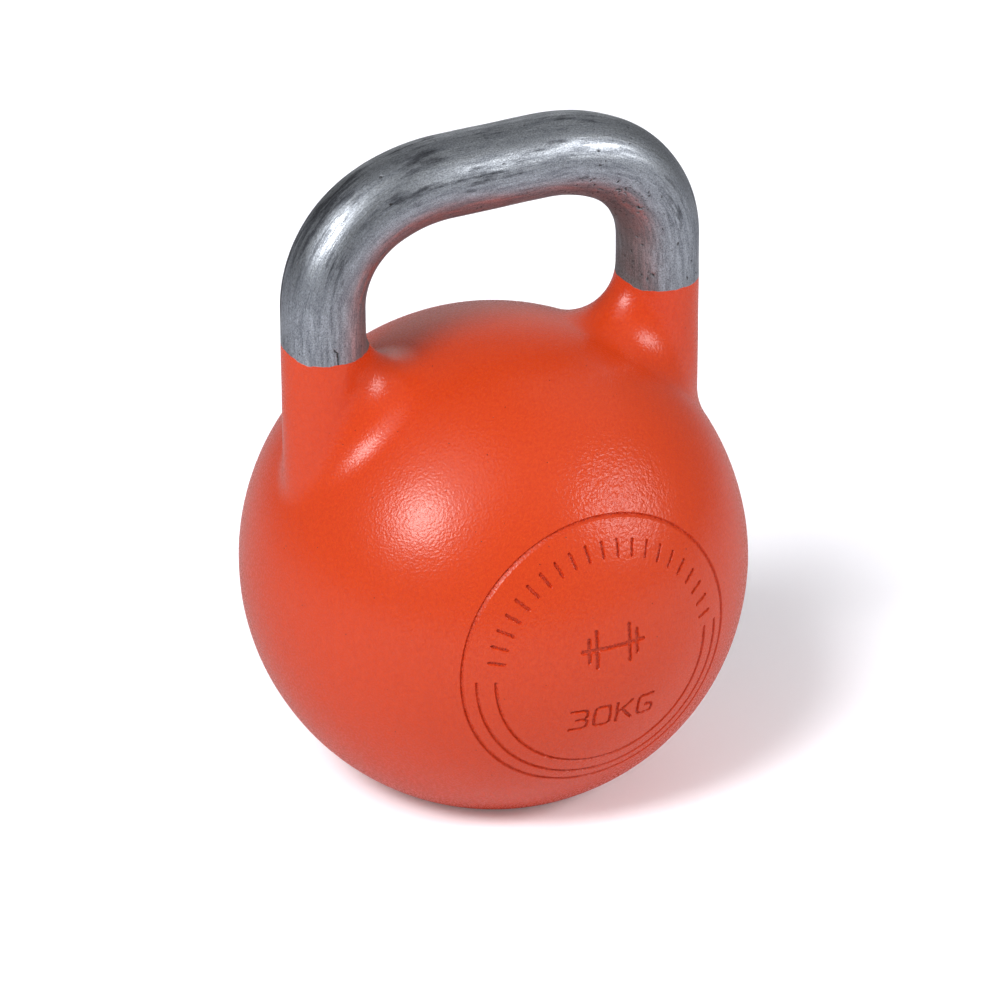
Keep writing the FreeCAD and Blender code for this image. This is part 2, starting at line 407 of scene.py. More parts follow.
# casting waves and rough groove edges of the ball, in millimetres
ballSkin = {
    "meshStep": 1.5,
    "sideMargin": 2.0,
    "endMargin": 3.0,
    "grooveCuts": 5,
    "grooveReach": 1.6,
    "waveSize": 26.0,
    "waveDepth": 0.14,
    "smallWaveSize": 7.0,
    "smallWaveDepth": 0.02,
    "edgeNoiseSize": 1.1,
    "edgeNoise": 0.3,
    "steepSide": 0.2,
    "floorSteepness": 2.6,
    "unevenSize": 3.1,
    "uneven": 0.2,
    "floorNoiseSize": 0.8,
    "floorNoise": 0.28,
    "fadeLength": 12.0,
    "hornPlain": 6.0,
    "skinBand": 0.05,
}


def noiseAt(points, size, seed):
    # each seed looks at another part of the same noise
    shift = Vector((seed * 17.3, seed * 5.1, seed * 9.7))
    return np.array([noise.noise(Vector(p) / size + shift) for p in points])


def buildBall():
    reach, spare = form["ballRadius"] + ballSkin["sideMargin"], ballSkin["endMargin"]
    capZ = form["hornTopZ"] + spare
    low, high = (-reach, -reach, -spare), (reach, reach, capZ + spare)

    def cappedField(p):
        return np.maximum(outsideField(p), p[:, 2] - capZ)
    points, faces = surfaceNet(cappedField, low, high, ballSkin["meshStep"])
    moved = relax(outsideField, points, faces, 3)
    points = np.where((points[:, 2] > capZ - ballSkin["meshStep"])[:, None], points, moved)
    return meshObject("paintedBall", points, faces)


# the hollow inside: cavity, filler hole, counterbore, spigot sockets and weld bevels
plugLow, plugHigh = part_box("base_plug")
sealLow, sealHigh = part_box("plug_seal")
weldLow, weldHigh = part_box("weld_right")
hollow = {
    "cavityRadius": 74.6,
    "fillerRadius": 21.05,
    "counterboreRadius": plugHigh.x / mm + 2,  # 2 mm of room round the flange
    "counterboreDepth": sealHigh.z / mm,
    "mouthChamfer": 0.8,
    "socketRadius": 12.55,
    "socketLow": handleLow.z / mm,
    "weldReach": 22.0,
    "weldLow": weldLow.z / mm,
}


def buildWeld(name, blank, x):
    # the weld fills the bevel round each leg and is dressed flush with the ball
    socket, reach, top = hollow["socketRadius"], hollow["weldReach"], form["hornTopZ"]
    ring = latheObject("ring", [(socket, top), (reach, hollow["weldLow"]), (reach, top), (socket, top)], x)
    merged = bmesh.new()
    merged.from_mesh(ring.data)
    bmesh.ops.remove_doubles(merged, verts=merged.verts, dist=0.001 * mm)
    merged.to_mesh(ring.data)
    merged.free()
    weld = blank.copy()
    weld.data = blank.data.copy()
    weld.name = name
    scene.collection.objects.link(weld)
    cutAway(weld, ring, "INTERSECT")
    return weld


def hollowOut(target):
    # every cutter runs a few millimetres past the surface
    centre, radius = form["ballCentreZ"], hollow["cavityRadius"]
    bore, mouth = hollow["fillerRadius"], hollow["counterboreRadius"]
    depth, chamfer = hollow["counterboreDepth"], hollow["mouthChamfer"]
    first = math.asin(bore / radius)
    arc = [(radius * math.sin(t), centre - radius * math.cos(t)) for t in np.linspace(first, math.pi, 64)]
    arc[-1] = (0, centre + radius)
    outline = [(0, -5), (mouth + chamfer + 1, -5), (mouth + chamfer + 1, -1), (mouth, chamfer),
               (mouth, depth), (bore, depth)]
    cutAway(target, latheObject("core", outline + arc))
    socket, top = hollow["socketRadius"], form["hornTopZ"]
    for x in (-form["legX"], form["legX"]):
        outline = [(0, hollow["socketLow"]), (socket, hollow["socketLow"]), (socket, top),
                   (hollow["weldReach"], hollow["weldLow"]), (hollow["weldReach"], top + 8), (0, top + 8)]
        cutAway(target, latheObject("socket", outline, x))


def refineMarks(target):
    # smaller faces where the grooves and strokes go
    shape = bmesh.new()
    shape.from_mesh(target.data)
    shape.faces.ensure_lookup_table()
    centres = np.array([face.calc_center_median() for face in shape.faces]) / mm
    onSkin = np.abs(outsideField(centres)) < ballSkin["skinBand"]
    chosen = np.zeros(len(centres), bool)
    for face, u, v, zone in markedFaces(centres):
        pick = np.flatnonzero(zone & onSkin)
        away, half = grooveDistances(u[pick], v[pick])
        chosen[pick[away < half + ballSkin["grooveReach"]]] = True
    edges = {edge for i in np.flatnonzero(chosen) for edge in shape.faces[i].edges}
    bmesh.ops.subdivide_edges(shape, edges=list(edges), cuts=ballSkin["grooveCuts"], use_grid_fill=True)
    bmesh.ops.triangulate(shape, faces=[face for face in shape.faces if len(face.verts) > 4])
    shape.to_mesh(target.data)
    shape.free()


def shapeSkin(target):
    # casting waves all over, and rough-edged grooves in the roundels
    count = len(target.data.vertices)
    flat = np.empty(count * 3)
    target.data.vertices.foreach_get("co", flat)
    points = flat.reshape(-1, 3) / mm
    skin = np.abs(outsideField(points)) < ballSkin["skinBand"]
    placed, normals = settle(outsideField, points[skin])
    sink = np.zeros(len(placed))
    groove = np.zeros(len(placed))
    for face, u, v, zone in markedFaces(placed):
        pick = np.flatnonzero(zone)
        away, half = grooveDistances(u[pick], v[pick])
        near = away < half + ballSkin["grooveReach"]
        pick, away, half = pick[near], away[near], half[near]
        rough = noiseAt(placed[pick], ballSkin["edgeNoiseSize"], 1 + face)
        ragged = away + ballSkin["edgeNoise"] * rough
        ring = half == roundel["grooveHalf"]
        inside = np.clip(1 - ragged / half, 0, 1)
        # the rings drop sharply on their outer side and rise gently on the inner one
        radius = np.hypot(u[pick], v[pick])
        lines = np.array([roundel["ringRadius"], *roundel["arcRadii"]])
        nearest = lines[np.argmin(np.abs(radius[:, None] - lines), axis=1)]
        within = 0.5 + (nearest - radius + ballSkin["edgeNoise"] * 0.6 * rough) / (2 * half)
        steep = ballSkin["steepSide"]
        sloped = np.clip(np.minimum(within / steep, (1 - within) / (1 - steep)), 0, 1)
        sloped *= np.clip(inside * 5, 0, 1)
        flatFloor = np.clip(inside * ballSkin["floorSteepness"], 0, 1)
        flatFloor = flatFloor * flatFloor * (3 - 2 * flatFloor)
        share = np.where(ring, sloped, flatFloor)
        depth = np.where(ring, roundel["grooveDepth"], roundel["strokeDepth"])
        uneven = ballSkin["uneven"] * noiseAt(placed[pick], ballSkin["unevenSize"], 7)
        uneven += ballSkin["floorNoise"] * noiseAt(placed[pick], ballSkin["floorNoiseSize"], 8)
        sink[pick] = depth * share * (1 + uneven)
        groove[pick] = share
    # no waves at the base and the horn tops, where other pieces meet the ball
    fade = np.clip(placed[:, 2] / ballSkin["fadeLength"], 0, 1)
    fade *= np.clip((form["hornTopZ"] - ballSkin["hornPlain"] - placed[:, 2]) / ballSkin["fadeLength"], 0, 1)
    wave = ballSkin["waveDepth"] * (noiseAt(placed, ballSkin["waveSize"], 3) - 0.6)
    wave += ballSkin["smallWaveDepth"] * noiseAt(placed, ballSkin["smallWaveSize"], 4)
    points[skin] = placed + normals * (wave * fade - sink)[:, None]
    target.data.vertices.foreach_set("co", (points * mm).ravel())
    attribute = target.data.attributes.new("groove", "FLOAT", "POINT")
    shares = np.zeros(count)
    shares[skin] = groove
    attribute.data.foreach_set("value", shares)
    target.data.update()


def shadeSmooth(target, angle=30):
    target.data.shade_smooth()
    target.data.set_sharp_from_angle(angle=math.radians(angle))


print("building the ball")
ball = buildBall()
welds = {"weld_left": buildWeld("leftWeld", ball, -form["legX"]),
         "weld_right": buildWeld("rightWeld", ball, form["legX"])}
hollowOut(ball)
refineMarks(ball)
shapeSkin(ball)
pieces = {"ball_shell": ball, **welds}
for node, piece in pieces.items():
    shadeSmooth(piece)
    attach(piece, "root")
    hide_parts(node)
print("ball has", len(ball.data.vertices), "points")


# the bare loop: a swept round bar whose surface was ground by hand over a pitted casting
loop = {
    "rowStep": 0.45,
    "columns": 240,
    "spigotRadius": 12.5,
    "spigotLow": handleLow.z / mm,
    "spigotChamfer": 1.5,
    "waveSize": 17.0,
    "waveDepth": 0.16,
    "facetSize": 6.5,
    "facetDepth": 0.09,
    "pitCount": 760,
    "pitRadius": (0.15, 0.42),
    "pitStretch": (1.0, 2.4),
    "crackCount": 5,
    "crackStride": 0.3,
    "crackWidth": (0.18, 0.4),
    "crackDepth": 0.45,
    "longCracks": ((-1, 4.8, 8.5), (1, 5.78, 19.0), (1, 5.9, 7.0), (-1, 3.4, 6.0)),  # leg, turn, length
    "rimFade": 9.0,
    "seed": 11,
}


def loopFrame(distance):
    # point on the centreline of the right half and its direction, measured from the middle of the bar
    bar = form["barHalf"]
    first = form["shoulderRadius"] * form["shoulderAngle"]
    last = form["cornerRadius"] * (math.pi / 2 - form["shoulderAngle"])
    d = abs(distance)
    if d < bar:
        angle, place = 0.0, np.array([d, form["barZ"]])
    elif d < bar + first:
        angle = (d - bar) / form["shoulderRadius"]
        place = shoulderCentre + form["shoulderRadius"] * np.array([math.sin(angle), math.cos(angle)])
    elif d < bar + first + last:
        angle = form["shoulderAngle"] + (d - bar - first) / form["cornerRadius"]
        place = cornerCentre + form["cornerRadius"] * np.array([math.sin(angle), math.cos(angle)])
    else:
        angle = math.pi / 2
        place = np.array([form["legX"], cornerCentre[1] - (d - bar - first - last)])
    side = 1 if distance >= 0 else -1
    outward = np.array([side * math.sin(angle), 0, math.cos(angle)])
    return np.array([side * place[0], 0, place[1]]), outward


def buildLoop():
    last = form["cornerRadius"] * (math.pi / 2 - form["shoulderAngle"])
    half = form["barHalf"] + form["shoulderRadius"] * form["shoulderAngle"] + last
    half += cornerCentre[1] - form["hornTopZ"]
    rows = int(2 * half / loop["rowStep"])
    columns = loop["columns"]
    turns = np.linspace(0, 2 * math.pi, columns, endpoint=False)
    points, straight = [], []
    for distance in np.linspace(-half, half, rows + 1):
        centre, outward = loopFrame(distance)
        for turn in turns:
            offset = outward * math.cos(turn) + np.array([0, math.sin(turn), 0])
            points.append(centre + offset * form["gripRadius"])
            section = np.array([math.cos(turn), math.sin(turn)]) * form["gripRadius"]
            straight.append((distance, *section))
    points, straight = np.array(points), np.array(straight)
    faces = []
    for row in range(rows):
        for column in range(columns):
            after = (column + 1) % columns
            a, b = row * columns, (row + 1) * columns
            faces.append([a + column, a + after, b + after, b + column])
    # the shoulder face under each leg, then the spigot below it
    low, chamfer = loop["spigotLow"], loop["spigotChamfer"]
    steps = [(loop["spigotRadius"], form["hornTopZ"]), (loop["spigotRadius"], low + chamfer),
             (loop["spigotRadius"] - chamfer, low)]
    surface = len(points)
    for end in (0, rows):
        centre, outward = loopFrame(-half if end == 0 else half)
        edge = list(range(end * columns, (end + 1) * columns))
        for radius, z in steps:
            start = len(points)
            ring = [(centre[0] + outward[0] * math.cos(t) * radius, math.sin(t) * radius, z) for t in turns]
            points = np.vstack([points, ring])
            flat = [(half, radius * math.cos(t), radius * math.sin(t)) for t in turns]
            straight = np.vstack([straight, flat])
            ringEdge = list(range(start, start + columns))
            for column in range(columns):
                after = (column + 1) % columns
                quad = [edge[column], ringEdge[column], ringEdge[after], edge[after]]
                faces.append(quad if end == 0 else quad[::-1])
            edge = ringEdge
        faces.append(edge if end else edge[::-1])
    return points, straight, faces, surface


def pitField(rng, straight):
    # depth of the casting's pinholes at each point
    depth = np.zeros(len(straight))
    half = np.abs(straight[:, 0]).max()
    around = np.arctan2(straight[:, 2], straight[:, 1]) % (2 * math.pi)
    for i in range(loop["pitCount"]):
        kind = rng.random()
        if kind < 0.42:  # the inner side of the right bend
            distance, turn = rng.normal(0.5, 0.14) * half, rng.normal(math.pi + 0.75, 0.42)
        elif kind < 0.7:  # all along the underside
            distance, turn = rng.uniform(-0.97, 0.97) * half, rng.normal(math.pi + 0.3, 0.55)
        elif kind < 0.82:  # just above the paint
            distance = rng.choice([-1, 1]) * rng.uniform(0.9, 0.995) * half
            turn = rng.uniform(0, 2 * math.pi)
        else:  # anywhere
            distance, turn = rng.uniform(-0.9, 0.9) * half, rng.uniform(0, 2 * math.pi)
        smallest, largest = loop["pitRadius"]
        size = smallest + (largest - smallest) * rng.random() ** 2.5  # most of them are small
        stretch, lean = rng.uniform(*loop["pitStretch"]), rng.normal(0, 0.6)
        dx = straight[:, 0] - distance
        near = np.flatnonzero(np.abs(dx) < 3 * size + 1)
        dy = (around[near] - turn + math.pi) % (2 * math.pi) - math.pi
        dy, dx = dy * form["gripRadius"], dx[near]
        long, short = dx * math.cos(lean) + dy * math.sin(lean), dy * math.cos(lean) - dx * math.sin(lean)
        away = np.hypot(long / stretch, short) / size
        depth[near] = np.maximum(depth[near], size * np.clip(1.15 - away, 0, 1) ** 0.7)
    return depth


def crackField(rng, straight):
    # depth of the fine cracks that grinding left open; the long ones run up the legs from the paint
    depth = np.zeros(len(straight))
    half = np.abs(straight[:, 0]).max()
    around = np.arctan2(straight[:, 2], straight[:, 1]) % (2 * math.pi)
    stride = loop["crackStride"]
    starts = [(side * (half - stride), turn, length) for side, turn, length in loop["longCracks"]]
    for i in range(loop["crackCount"]):
        starts.append((rng.choice([-1, 1]) * rng.uniform(0.3, 0.95) * half, rng.uniform(2.2, 4.6),
                       rng.uniform(1.5, 5)))
    for distance, turn, length in starts:
        heading = rng.normal(0, 0.15)
        side = np.sign(distance)
        for i in range(int(length / stride)):
            heading = 0.8 * heading + rng.normal(0, 0.35)
            distance -= side * stride * math.cos(heading)
            turn += stride * math.sin(heading) / form["gripRadius"]
            width = rng.uniform(*loop["crackWidth"])
            dx = straight[:, 0] - distance
            near = np.flatnonzero(np.abs(dx) < 1.5)
            dy = (around[near] - turn + math.pi) % (2 * math.pi) - math.pi
            away = np.hypot(dx[near], dy * form["gripRadius"]) / width
            depth[near] = np.maximum(depth[near], loop["crackDepth"] * np.clip(1.3 - away, 0, 1))
    return depth


def shapeLoop():
    rng = np.random.default_rng(loop["seed"])
    points, straight, faces, surface = buildLoop()
    placed, normals = settle(outsideField, points[:surface])
    bar = straight[:surface]
    # the rims stay level with the tops of the welds, however the blend leans there
    half = np.abs(bar[:, 0]).max()
    rim = np.abs(bar[:, 0]) > half - 0.5 * loop["rowStep"]
    for _ in range(5):
        placed[rim, 2] = form["hornTopZ"]
        placed[rim], normals[rim] = settle(outsideField, placed[rim])
    placed[rim, 2] = form["hornTopZ"]
    scars = np.maximum(pitField(rng, bar), crackField(rng, bar))
    stretched = bar * np.array([0.45, 1, 1])
    wave = loop["waveDepth"] * (noiseAt(stretched, loop["waveSize"], 5) - 0.7)
    wave += loop["facetDepth"] * noiseAt(stretched, loop["facetSize"], 6)
    fade = np.clip((half - np.abs(bar[:, 0])) / loop["rimFade"], 0, 1)
    scarFade = np.clip(half - np.abs(bar[:, 0]), 0, 1)
    points[:surface] = placed + normals * (wave * fade - scars * scarFade)[:, None]
    made = meshObject("groundHandle", points, faces)
    marks = np.zeros(len(points))
    marks[:surface] = np.clip(scars / 0.25, 0, 1)
    made.data.attributes.new("scar", "FLOAT", "POINT").data.foreach_set("value", marks)
    bent = made.data.attributes.new("straightBar", "FLOAT_VECTOR", "POINT")
    bent.data.foreach_set("vector", (straight * mm).ravel())
    return made


print("building the handle")
handle = shapeLoop()
shadeSmooth(handle)
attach(handle, "root")
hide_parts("handle")
print("handle has", len(handle.data.vertices), "points")


# polyester powder baked on shot-blasted cast steel: satin, with fine orange peel and a few pinholes
powderCoat = {
    "colour": "#EF4E1C",
    "shade": "#E44318",
    # grooveColour and grooveTint darken the grooves: painted shade in the recesses, with some dust
    "grooveColour": "#8A1C0C",
    "grooveTint": 0.6,
    "grooveRoughness": 0.25,
    "ior": 1.5,
    "roughness": 0.27,
    "roughnessSpread": 0.05,
    "peelSize": 1.05,
    "peelDepth": 0.14,
    "grainSize": 0.5,
    "grainDepth": 0.03,
    # pinholeColour darkens each pinhole: painted shade inside the hole
    "pinholeColour": "#5A140A",
    "pinholeSpacing": 6.0,
    "pinholeRadius": 0.3,
    "pinholeDepth": 0.12,
    "wrinkleSize": 1.6,
    "wrinkleDepth": 0.42,
    "wrinkleCentre": (15.0, -84.0, 158.0),
    "wrinkleReach": (52.0, 18.0),  # where the patch starts and where it is full
    "wrinkleStray": 20.0,
    "cloudSize": 45.0,
}


def paintParts(add):
    # colour, roughness and height in millimetres of the paint, for any material that shows it
    place = add("TexCoord").outputs["Object"]
    peel = add("TexNoise", {"Vector": place, "Scale": perSize(powderCoat["peelSize"]),
                            "Detail": 1.5, "Roughness": 0.45})
    grain = add("TexNoise", {"Vector": place, "Scale": perSize(powderCoat["grainSize"]), "Detail": 1.0})
    # the grooves are darkened in specks: painted shade in the recesses, with some dust in the powder
    groove = add("Attribute", attribute_name="groove").outputs["Fac"]
    mottle = add("MapRange", {"Value": peel, "From Min": 0.2, "From Max": 0.8},
                 interpolation_type="SMOOTHSTEP")
    speck = add("MapRange", {"Value": grain, "From Min": 0.38, "From Max": 0.62,
                             "To Max": powderCoat["grooveTint"]})
    grooveDustAndShade = add("Math", {0: groove, 1: speck}, operation="MULTIPLY")
    cells = add("TexVoronoi", {"Vector": place, "Scale": perSize(powderCoat["pinholeSpacing"])})
    holeEdge = powderCoat["pinholeRadius"] / powderCoat["pinholeSpacing"]
    hole = add("MapRange", {"Value": cells, "From Min": holeEdge, "From Max": holeEdge * 0.4},
               interpolation_type="SMOOTHSTEP")
    colour = powderCoat["colour"]
    for share, tint in ((mottle, "shade"), (grooveDustAndShade, "grooveColour"), (hole, "pinholeColour")):
        colour = add("Mix", {0: share, 6: colour, 7: powderCoat[tint]}, data_type="RGBA")
    rough = add("MapRange", {"Value": peel,
                             "To Min": powderCoat["roughness"] - powderCoat["roughnessSpread"],
                             "To Max": powderCoat["roughness"] + powderCoat["roughnessSpread"]})
    rough = add("Math", {0: groove, 1: powderCoat["grooveRoughness"], 2: rough}, operation="MULTIPLY_ADD")
    # one patch on the front, above the roundel, where the paint has wrinkled
    centre = tuple(value * mm for value in powderCoat["wrinkleCentre"])
    away = add("VectorMath", {0: place, 1: centre}, operation="DISTANCE")
    cloud = add("TexNoise", {"Vector": place, "Scale": perSize(powderCoat["cloudSize"]), "Detail": 3.0})
    away = add("Math", {0: cloud, 1: powderCoat["wrinkleStray"] * mm, 2: away}, operation="MULTIPLY_ADD")
    outermost, full = powderCoat["wrinkleReach"]
    wrinkled = add("MapRange", {"Value": away, "From Min": outermost * mm, "From Max": full * mm},
                   interpolation_type="SMOOTHSTEP")
    wrinkle = add("TexNoise", {"Vector": place, "Scale": perSize(powderCoat["wrinkleSize"]),
                               "Detail": 2.5, "Roughness": 0.55})
    wrinkle = add("Math", {0: wrinkle, 1: 0.5}, operation="SUBTRACT")
    wrinkle = add("Math", {0: wrinkle, 1: wrinkled}, operation="MULTIPLY")
    height = add("Math", {0: peel, 1: powderCoat["peelDepth"]}, operation="MULTIPLY")
    for pattern, depth in ((grain, powderCoat["grainDepth"]), (hole, -powderCoat["pinholeDepth"]),
                           (wrinkle, powderCoat["wrinkleDepth"])):
        height = add("Math", {0: pattern, 1: depth, 2: height}, operation="MULTIPLY_ADD")
    return colour, rough, height


def orangePowderCoat():
    material, add = newMaterial("orangePowderCoat")
    colour, rough, height = paintParts(add)
    bump = add("Bump", {"Height": height, "Distance": mm})
    shader = add("BsdfPrincipled", {"Base Color": colour, "Roughness": rough,
                                    "IOR": powderCoat["ior"], "Normal": bump})
    add("OutputMaterial", {"Surface": shader})
    return material


# cast steel ground with a flap wheel: bright where the wheel bit, oxide and pinholes where it did not
groundSteel = {
    "bright": "#B5BAC1",
    "dull": "#9A9FA7",
    "oxide": "#4A4C52",
    "oxideTint": 0.85,
    # the inner colour is the unground inside of the loop, darkened further as painted shade
    "inner": "#6C6867",
    "innerTint": 0.75,
    "innerMetal": -0.5,
    "scarColour": "#1D1512",
    "scarMetal": -0.7,
    "roughness": (0.34, 0.52),
    "oxideRoughness": 0.12,
    "scarRoughness": 0.4,
    # length along the bar and width across it in millimetres, then the detail and roughness of the noise;
    # the wheel's own scratches are finer than these, which are as coarse as they need to be to show
    "patterns": {
        "scratch": (6.0, 0.55, 2.0, 0.55),
        "streak": (14.0, 1.9, 3.0, 0.65),
        "speck": (0.675, 0.45, 2.0, 0.55),
        "patch": (26.0, 8.5, 4.0, 0.6),
    },
    "scratchDepth": 0.07,
    "speckDepth": 0.06,
    "speckShades": (0.58, 1.32),
    "lapHeight": 3.4,
    "lapBack": 0.43,
    "lapSide": -0.9,
    "paintEdge": (-0.1, 0.8),
    "paintEdgeSize": 5.26,
    "paintEdgeSoftness": 0.08,
    "filmDepth": 0.12,
}


def groundCastSteel():
    material, add = newMaterial("groundCastSteel")
    bar = add("Attribute", attribute_name="straightBar").outputs["Vector"]
    along, outwards, _ = add("SeparateXYZ", {0: bar}).outputs
    pattern = {}
    for name, (length, width, detail, roughness) in groundSteel["patterns"].items():
        scale = (perSize(length), perSize(width), perSize(width))
        place = add("VectorMath", {0: bar, 1: scale}, operation="MULTIPLY")
        pattern[name] = add("TexNoise", {"Vector": place, "Scale": 1.0, "Detail": detail,
                                         "Roughness": roughness})
    scratch, streak, speck, patch = pattern.values()
    outer = add("Math", {0: outwards, 1: form["gripRadius"] * mm}, operation="DIVIDE")
    # oxide lies in patches; the mask is raised a little along the outside of the loop and more at the
    # outside of the left shoulder, which darkens the top of the bar there, and lowered near the ends of the
    # legs
    stain = add("Math", {0: streak, 1: 0.35, 2: patch}, operation="MULTIPLY_ADD")
    stain = add("Math", {0: outer, 1: 0.03, 2: stain}, operation="MULTIPLY_ADD")
    fromMiddle = add("Math", {0: along}, operation="ABSOLUTE")
    low = add("MapRange", {"Value": fromMiddle, "From Min": 85 * mm, "From Max": 115 * mm, "To Max": -0.14})
    left = add("MapRange", {"Value": along, "From Min": -15 * mm, "From Max": -45 * mm, "To Max": 0.11})
    shoulder = add("Math", {0: left, 1: outer}, operation="MULTIPLY")
    for more in (low, shoulder):
        stain = add("Math", {0: stain, 1: more}, operation="ADD")
    stain = add("MapRange", {"Value": stain, "From Min": 0.75, "From Max": 0.9})
    # the inside of the loop is darker, duller and less metallic: the wheel hardly reaches it, and the darker
    # colour is also painted shade under the bar and between the legs
    inner = add("Math", {0: streak, 1: -0.8, 2: outer}, operation="MULTIPLY_ADD")
    inner = add("MapRange", {"Value": inner, "From Min": -0.75, "From Max": -1.35})
    scar = add("Attribute", attribute_name="scar").outputs["Fac"]
    tone = add("MapRange", {"Value": streak, "From Min": 0.38, "From Max": 0.62})
    colour = add("Mix", {0: tone, 6: groundSteel["bright"], 7: groundSteel["dull"]}, data_type="RGBA")
    for mask, tint in ((stain, "oxide"), (inner, "inner")):
        share = add("Math", {0: mask, 1: groundSteel[tint + "Tint"]}, operation="MULTIPLY")
        colour = add("Mix", {0: share, 6: colour, 7: groundSteel[tint]}, data_type="RGBA")
    darkest, lightest = groundSteel["speckShades"]
    shade = add("MapRange", {"Value": speck, "From Min": 0.3, "From Max": 0.7,
                             "To Min": darkest, "To Max": lightest})
    colour = add("VectorMath", {0: colour, "Scale": shade}, operation="SCALE")
    colour = add("Mix", {0: scar, 6: colour, 7: groundSteel["scarColour"]}, data_type="RGBA")
    smoothest, roughest = groundSteel["roughness"]
    rough = add("MapRange", {"Value": streak, "From Min": 0.35, "From Max": 0.65,
                             "To Min": smoothest, "To Max": roughest})
    for mask, more in ((stain, "oxideRoughness"), (inner, "oxideRoughness"), (scar, "scarRoughness")):
        rough = add("Math", {0: mask, 1: groundSteel[more], 2: rough}, operation="MULTIPLY_ADD")
    metal = add("Math", {0: scar, 1: groundSteel["scarMetal"], 2: 1.0}, operation="MULTIPLY_ADD")
    metal = add("Math", {0: inner, 1: groundSteel["innerMetal"], 2: metal}, operation="MULTIPLY_ADD")
    metal = add("Math", {0: metal, 1: 0.0}, operation="MAXIMUM")
    height = add("Math", {0: scratch, 1: groundSteel["scratchDepth"]}, operation="MULTIPLY")
    height = add("Math", {0: speck, 1: groundSteel["speckDepth"], 2: height}, operation="MULTIPLY_ADD")
    # the paint ends in an uneven masked edge, which runs highest at the back left of each leg
    place = add("TexCoord").outputs["Object"]
    x, y, z = add("SeparateXYZ", {0: place}).outputs
    side = add("Math", {0: x}, operation="SIGN")
    fromLeg = add("Math", {0: side, 1: -form["legX"] * mm, 2: x}, operation="MULTIPLY_ADD")
    turned = add("Math", {0: fromLeg, 1: groundSteel["lapSide"] / (form["gripRadius"] * mm)},
                 operation="MULTIPLY")
    turned = add("Math", {0: y, 1: groundSteel["lapBack"] / (form["gripRadius"] * mm), 2: turned},
                 operation="MULTIPLY_ADD")
    lap = add("MapRange", {"Value": turned, "From Min": 0.3, "From Max": 1.0,
                           "To Max": groundSteel["lapHeight"] * mm}, interpolation_type="SMOOTHSTEP")
    ragged = add("TexNoise", {"Vector": place, "Scale": perSize(groundSteel["paintEdgeSize"]),
                              "Detail": 3.0})
    lowest, highest = [(form["hornTopZ"] + offset) * mm for offset in groundSteel["paintEdge"]]
    edge = add("MapRange", {"Value": ragged, "From Min": 0.3, "From Max": 0.7,
                            "To Min": lowest, "To Max": highest})
    edge = add("Math", {0: edge, 1: lap}, operation="ADD")
    above = add("Math", {0: z, 1: edge}, operation="SUBTRACT")
    soft = groundSteel["paintEdgeSoftness"] * mm
    painted = add("MapRange", {"Value": above, "From Min": soft, "From Max": -soft})
    paintColour, paintRough, paintHeight = paintParts(add)
    film = add("Math", {0: paintHeight, 1: groundSteel["filmDepth"]}, operation="ADD")
    colour = add("Mix", {0: painted, 6: colour, 7: paintColour}, data_type="RGBA")
    rough = add("Mix", {0: painted, 2: rough, 3: paintRough})
    metal = add("Mix", {0: painted, 2: metal, 3: 0.0})
    height = add("Mix", {0: painted, 2: height, 3: film})
    bump = add("Bump", {"Height": height, "Distance": mm})
    shader = add("BsdfPrincipled", {"Base Color": colour, "Metallic": metal, "Roughness": rough,
                                    "Normal": bump})
    add("OutputMaterial", {"Surface": shader})
    return material


# zinc electroplate over a turned plug: a bluish grey with faint turning rings
zincPlug = {"colour": "#A9AEB6", "dark": "#878C94", "roughness": (0.24, 0.44), "bloomSize": 7.14,
            "ringSpacing": 0.6, "ringDepth": 0.01}


def zincPlatedSteel():
    material, add = newMaterial("zincPlatedSteel")
    place = add("TexCoord").outputs["Object"]
    # a wave of scale 1 repeats every 0.314 units
    rings = add("TexWave", {"Vector": place, "Scale": 0.314 * perSize(zincPlug["ringSpacing"]),
                            "Distortion": 0.4, "Detail": 1.0}, wave_type="RINGS", rings_direction="Z")
    bloom = add("TexNoise", {"Vector": place, "Scale": perSize(zincPlug["bloomSize"]), "Detail": 4.0})
    colour = add("Mix", {0: bloom, 6: zincPlug["colour"], 7: zincPlug["dark"]}, data_type="RGBA")
    smoothest, roughest = zincPlug["roughness"]
    rough = add("MapRange", {"Value": bloom, "To Min": smoothest, "To Max": roughest})
    bump = add("Bump", {"Height": rings.outputs["Fac"], "Distance": zincPlug["ringDepth"] * mm})
    shader = add("BsdfPrincipled", {"Base Color": colour, "Metallic": 1.0, "Roughness": rough,
                                    "Normal": bump})
    add("OutputMaterial", {"Surface": shader})
    return material


# the seal, the ballast and the cavity are hardly seen: one pattern each, which colours and roughens them
innerFinishes = {
    # moulded nitrile rubber: matt black, with a faint grey bloom
    "nitrileRubber": {"dark": "#1B1B1C", "light": "#2A2A2B", "roughness": 0.75, "metal": 0.0, "ior": 1.52,
                      "tone": ("TexNoise", 1.667), "grain": ("TexNoise", 1.667), "detail": 3.0,
                      "depth": 0.02},
    # iron shot of 1.4 mm set in clear resin: dark round grains with a thin glossy skin, each coloured
    # lighter at its middle as a painted highlight
    "shotInResin": {"dark": "#1A1613", "light": "#5C5A58", "roughness": 0.35, "metal": 0.0, "ior": 1.55,
                    "tone": ("TexVoronoi", 1.4), "grain": ("TexVoronoi", 1.4), "detail": 0.0, "depth": 0.5},
    # steel left as cast: dark scale over sand grain
    "rawCasting": {"dark": "#3A3634", "light": "#6A5348", "roughness": 0.75, "metal": 0.6, "ior": 1.5,
                   "tone": ("TexNoise", 16.67), "grain": ("TexNoise", 1.11), "detail": 4.0, "depth": 0.15},
}


